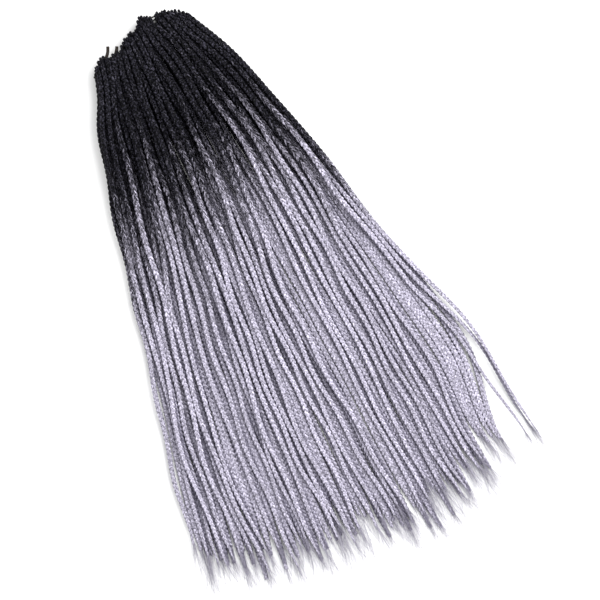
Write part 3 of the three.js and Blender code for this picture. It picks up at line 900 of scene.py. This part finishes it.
def tie_material(colour):
    """Dull dark elastic: a fine slanting rib round the cord."""
    nodes = Nodes("tie cord")
    chart = nodes.add("ShaderNodeUVMap", uv_map=HAIR_MAP).outputs["UV"]
    turned = {"Vector": chart, "Rotation": (0, 0, math.radians(35))}
    slant = nodes.add("ShaderNodeMapping", turned).outputs["Vector"]
    ribs = nodes.add("ShaderNodeTexWave", {"Vector": slant, "Scale": 3.0, "Distortion": 0.6}).outputs["Fac"]
    dark, pale = ([share * value for value in colour.tie] for share in (0.5, 1.6))
    nodes.set(nodes.shader.inputs["Base Color"], nodes.blend(ribs, dark, pale))
    nodes.set(nodes.shader.inputs["Roughness"], 0.6)
    nodes.set(nodes.shader.inputs["Specular IOR Level"], 0.2)
    nodes.bump(ribs, 0.6, 0.0002)
    return nodes.material


def shared_material(name, make, colour):
    """The material of that name, made once."""
    return bpy.data.materials.get(name) or make(colour)


# Operators

class BRAIDS_OT_upper(bpy.types.Operator):
    """Adds the braids that are seen one by one, each in the place of its solid, and their flyaway hairs"""

    bl_idname = "braids.upper"
    bl_label = "Upper braids"

    def execute(self, context):
        settings = context.scene.braid_hair
        material = shared_material("plaited hair", hair_material, settings.colour)
        grid, places = braid_lines(settings.row)
        span = row_span(settings.row)
        last = len(BRAID_NODES) - 1
        flyaways = []
        for number, node in enumerate(BRAID_NODES):
            solid, loop = read_node(node, BRAID_CORNERS, settings.row)
            depth, x, wide, low, high = solid.T
            rows = np.column_stack([depth, x, TOP - depth, (low + high) / 2, wide, (high - low) / 2])
            if number > last - STRAYS:
                thinner = smooth_step((rows[:, :1] - settings.plait.thin_start) / settings.plait.thin_length)
                rows[:, 4:] *= 1 - settings.plait.thin_strays * thinner
            rows[0, 4:] = rows[1, 4:] * settings.plait.neck_fill
            loop = set_in_row(rows, loop, np.random.default_rng(ROW_SEED + number), span, settings.row)
            edge = 1.0 if number in (0, last) else 0.0
            # Centre lines of the other braids, from which this braid's painted shade is worked out
            others = (grid, np.delete(places, number, axis=0))
            hairs = settings.loose.upper_hairs
            sway = settings.plait.sway
            parts, braid = braid_parts(rows, loop, number, UPPER_DETAIL, hairs, sway, edge, others, settings)
            new_piece(f"plait_{number + 1:02d}", parts, material, HAIR_SLOT, node)
            random = np.random.default_rng(FLYAWAY_SEED + number)
            flyaways.append(flyaway_parts(braid, random, settings.loose))
        new_piece("flyaway_hair", flyaways, material, HAIR_SLOT)
        return {"FINISHED"}


def lower_rows(solid, loop, member, random, swell, lower):
    """Rows of one of the plaits of a lock. They share its width evenly. Neighbours lie on other levels
    of its height, which sink to the table with it. The right plaits bow out by swell, in a bell curve
    along the run."""
    tier = member % lower.tiers
    share = (member + 0.5) / lower.plaits * 2 - 1
    settled = smooth_step((solid[:, 0] - solid[0, 0]) / (solid[-1, 0] - solid[0, 0]) * 3)
    wide = np.append(solid[:-1, 2], solid[-2, 2])
    x = solid[:, 1] + share * wide + random.normal(0, lower.stray, len(solid)) * settled
    x += swell * max(share, 0.0) * np.exp(-((solid[:, 0] - lower.swell_place) / lower.swell_length) ** 2)
    rise = lower.half_height
    height = rise + np.maximum(solid[:, 4] - 2 * rise, 0) * tier / (lower.tiers - 1)
    half = np.minimum(lower.fill * 2 * wide / lower.plaits, lower.most_half)
    depth = solid[:, 0].copy()
    depth[-2:] += random.normal(0, lower.end_scatter)
    rows = np.column_stack([depth, x, TOP - depth, height, half, np.full(len(solid), rise)])
    rows[0, 1] = loop[0] + share * solid[0, 2]
    rows[0, 3] = loop[2] + (tier / (lower.tiers - 1) - 0.5) * rise
    return rows


class BRAIDS_OT_lower(bpy.types.Operator):
    """Adds the braids on the table, a few in the place of each lock"""

    bl_idname = "braids.lower"
    bl_label = "Lower braids"

    def execute(self, context):
        settings = context.scene.braid_hair
        lower = settings.lower
        material = shared_material("plaited hair", hair_material, settings.colour)
        grid, upper = braid_lines(settings.row)
        span = row_span(settings.row)
        count = lower.plaits
        braids = []
        for number, node in enumerate(LOCK_NODES):
            solid, loop = read_node(node, LOCK_CORNERS, settings.row)
            swell = lower.swell if node == LOCK_NODES[-1] else 0.0
            for member in range(count):
                random = np.random.default_rng(LOWER_ROWS_SEED + number * count + member)
                rows = lower_rows(solid, loop, member, random, swell, lower)
                own_loop = set_in_row(rows, (rows[0, 1], loop[1], loop[2]), random, span, settings.row)
                braids.append((rows, own_loop))
        beside = np.array([centre_line(rows[:, 0], rows[:, 1], rows[:, 3], grid) for rows, _ in braids])
        last = len(braids) - 1
        hairs, sway = settings.loose.lower_hairs, lower.sway
        for number, node in enumerate(LOCK_NODES):
            parts = []
            for place in range(number * count, (number + 1) * count):
                edge = 1.0 if place in (0, last) else 0.0
                # Centre lines of the upper braids and of the nearest lower plaits, from which this plait's
                # painted shade is worked out
                first, end = max(0, place - SHADING_NEIGHBOURS), min(place + SHADING_NEIGHBOURS, last)
                near = [other for other in range(first, end + 1) if other != place]
                lines = (grid, np.concatenate([upper, beside[near]]))
                rows, own_loop = braids[place]
                seed = LOWER_SEED + place
                made = braid_parts(rows, own_loop, seed, LOWER_DETAIL, hairs, sway, edge, lines, settings)
                parts += made[0]
            new_piece(f"lock_plaits_{number + 1:02d}", parts, material, HAIR_SLOT, node)
        return {"FINISHED"}


def tie_places(nodes, least, inset, row):
    """Places where the tie passes through the loops of some nodes: x, y and z."""
    loops = np.array([read_node(node, least, row)[1] for node in nodes])
    return np.stack([loops[:, 0], TOP - loops[:, 1] - inset, loops[:, 2]], axis=1)


def cord(path, up, radius, ring=True):
    """One rope of even thickness."""
    radii = np.full((1, len(path)), radius)
    return tubes(path[None], up, radii, radii, CORD_SIDES, 0 * radii, np.zeros(1), ring=ring)


def tie_ring(over, under_level, turn, bow_out):
    """The tie's way round the row: its upper run, back under it, and half an ellipse at each end."""
    under = over[::-1] * np.array([1, 1, 0]) + np.array([0, 0, under_level])
    angle = np.linspace(0, math.pi, 11)[1:-1]
    bow = np.stack([bow_out * np.sin(angle), 0 * angle, turn * (np.cos(angle) - 1)], axis=1)
    return np.concatenate([over, over[-1] + bow, under, (over[0] + bow * np.array([-1, 1, 1]))[::-1]])


def knot_path(middle, radius):
    """Trefoil knot that reaches as far as its radius: sine and cosine of one, two and three turns."""
    t = np.arange(48) / 48 * TURN
    across, along = np.sin(t) + 2 * np.sin(2 * t), np.cos(t) - 2 * np.cos(2 * t)
    return middle + np.stack([across, along, -np.sin(3 * t)], axis=1) * radius / 3


def tie_end(start, belly, length, lean):
    """A free end of the tie: a parabola that follows the tie and bends out between the loops."""
    t = np.linspace(0, 1, 16)[:, None]
    tip = belly + np.array([lean, length, 0.001])
    return start * (1 - t) ** 2 + 2 * belly * t * (1 - t) + tip * t ** 2


class BRAIDS_OT_tie(bpy.types.Operator):
    """Adds the tie through the loops, with its knot, and its two ends, which run back through the loops"""

    bl_idname = "braids.tie"
    bl_label = "Tie"

    def execute(self, context):
        settings = context.scene.braid_hair
        sizes = settings.loop
        material = shared_material("tie cord", tie_material, settings.colour)
        upper = tie_places(BRAID_NODES, BRAID_CORNERS, sizes.tie_inset, settings.row)
        lower = tie_places(LOCK_NODES, LOCK_CORNERS, sizes.tie_inset, settings.row)
        level, under_level = upper[:, 2].mean(), lower[:, 2].mean()
        turn = (level - under_level) / 2
        curve = np.polynomial.Polynomial.fit(upper[:, 0], upper[:, 1], 2)
        span = row_span(settings.row)

        def line(x):
            """Points of the upper run of the tie."""
            return np.stack([x, curve(x) - step_back(x, span, settings.row), np.full(len(x), level)], axis=1)

        over = line(np.linspace(upper[0, 0] - 0.001, upper[-1, 0] + 0.001, 90))
        ring = tie_ring(over, under_level, turn, sizes.tie_turn)
        knot = over[0] + np.array([-sizes.tie_turn, 0, -turn])
        parts = [
            cord(ring, np.array([0.0, 1.0, 0.05]), sizes.tie_radius),
            cord(knot_path(knot, sizes.knot_radius - sizes.tie_radius), UPRIGHT, sizes.tie_radius),
        ]
        for place, length, lean in zip(sizes.end_places, sizes.end_lengths, sizes.end_leans):
            start, belly = line(span[0] + place + np.array([-sizes.end_run, 0]))
            parts.append(cord(tie_end(start, belly, length, lean), UPRIGHT, sizes.end_radius, ring=False))
        new_piece("tie_cord_knotted", parts, material, TIE_SLOT, "tie")
        return {"FINISHED"}


def add_floor(stage):
    """Plain pale floor."""
    half = stage.floor_half
    mesh = bpy.data.meshes.new("floor")
    square = [(-half, -half, 0), (half, -half, 0), (half, half, 0), (-half, half, 0)]
    mesh.from_pydata(square, [], [(0, 1, 2, 3)])
    nodes = Nodes("pale floor")
    nodes.set(nodes.shader.inputs["Base Color"], (*stage.floor, 1))
    nodes.set(nodes.shader.inputs["Roughness"], 0.9)
    nodes.set(nodes.shader.inputs["Specular IOR Level"], 0.0)
    mesh.materials.append(nodes.material)
    floor = bpy.data.objects.new("floor", mesh)
    bpy.context.scene.collection.objects.link(floor)


def add_lights(stage, centre, right, up):
    """Even light from all sides, and one soft lamp to the upper right of the view."""
    world = bpy.data.worlds.new("even light")
    world.use_nodes = True
    world.node_tree.nodes["Background"].inputs["Color"].default_value = (1, 1, 1, 1)
    world.node_tree.nodes["Background"].inputs["Strength"].default_value = stage.sky
    bpy.context.scene.world = world
    light = bpy.data.lights.new("key", "AREA")
    light.size = stage.key_size
    light.energy = stage.key_power
    lamp = bpy.data.objects.new("key", light)
    away = unit(right + 0.7 * up) * stage.key_away
    lamp.location = centre + away + np.array([0, 0, stage.key_height])
    lamp.rotation_euler = (math.atan2(stage.key_away, stage.key_height), 0, math.atan2(away[0], -away[1]))
    bpy.context.scene.collection.objects.link(lamp)


def add_camera(stage, centre):
    """Camera straight above the middle of the view."""
    data = bpy.data.cameras.new("camera")
    data.lens = stage.lens
    camera = bpy.data.objects.new("camera", data)
    camera.location = (centre[0], centre[1], stage.view_width * stage.lens / data.sensor_width)
    camera.rotation_euler = (0, 0, -stage.turn)
    bpy.context.scene.collection.objects.link(camera)
    bpy.context.scene.camera = camera


class BRAIDS_OT_stage(bpy.types.Operator):
    """Adds the floor, the lights and the camera"""

    bl_idname = "braids.stage"
    bl_label = "Stage"

    def execute(self, context):
        stage = context.scene.braid_hair.stage
        centre = np.array([stage.view_across, TOP - stage.view_depth, 0.0])
        right = np.array([math.cos(stage.turn), -math.sin(stage.turn), 0])
        up = np.array([math.sin(stage.turn), math.cos(stage.turn), 0])
        add_floor(stage)
        add_lights(stage, centre, right, up)
        add_camera(stage, centre)
        context.scene.view_settings.view_transform = "Standard"
        return {"FINISHED"}


class BRAIDS_PT_panel(bpy.types.Panel):
    """Lists the parts of the model in the sidebar"""

    bl_idname = "BRAIDS_PT_panel"
    bl_label = "Crochet box braids"
    bl_space_type = "VIEW_3D"
    bl_region_type = "UI"
    bl_category = "Braids"

    def draw(self, context):
        for operator in OPERATORS:
            self.layout.operator(operator.bl_idname)


GROUPS = (
    PlaitSizes, RowSizes, LowerSizes, ShadeSizes, LooseHairSizes, LoopSizes, HairColours, StageSettings,
    BraidHairSettings)
OPERATORS = (BRAIDS_OT_stage, BRAIDS_OT_lower, BRAIDS_OT_upper, BRAIDS_OT_tie)
CLASSES = (*GROUPS, *OPERATORS, BRAIDS_PT_panel)


def register():
    """Adds the settings, the operators and the panel."""
    for item in CLASSES:
        bpy.utils.register_class(item)
    bpy.types.Scene.braid_hair = bpy.props.PointerProperty(type=BraidHairSettings)


def unregister():
    """Takes them away again."""
    del bpy.types.Scene.braid_hair
    for item in reversed(CLASSES):
        bpy.utils.unregister_class(item)


def main():
    """Builds everything."""
    register()
    bpy.ops.braids.stage()
    bpy.ops.braids.lower()
    bpy.ops.braids.upper()
    bpy.ops.braids.tie()


if __name__ == "__main__":
    main()
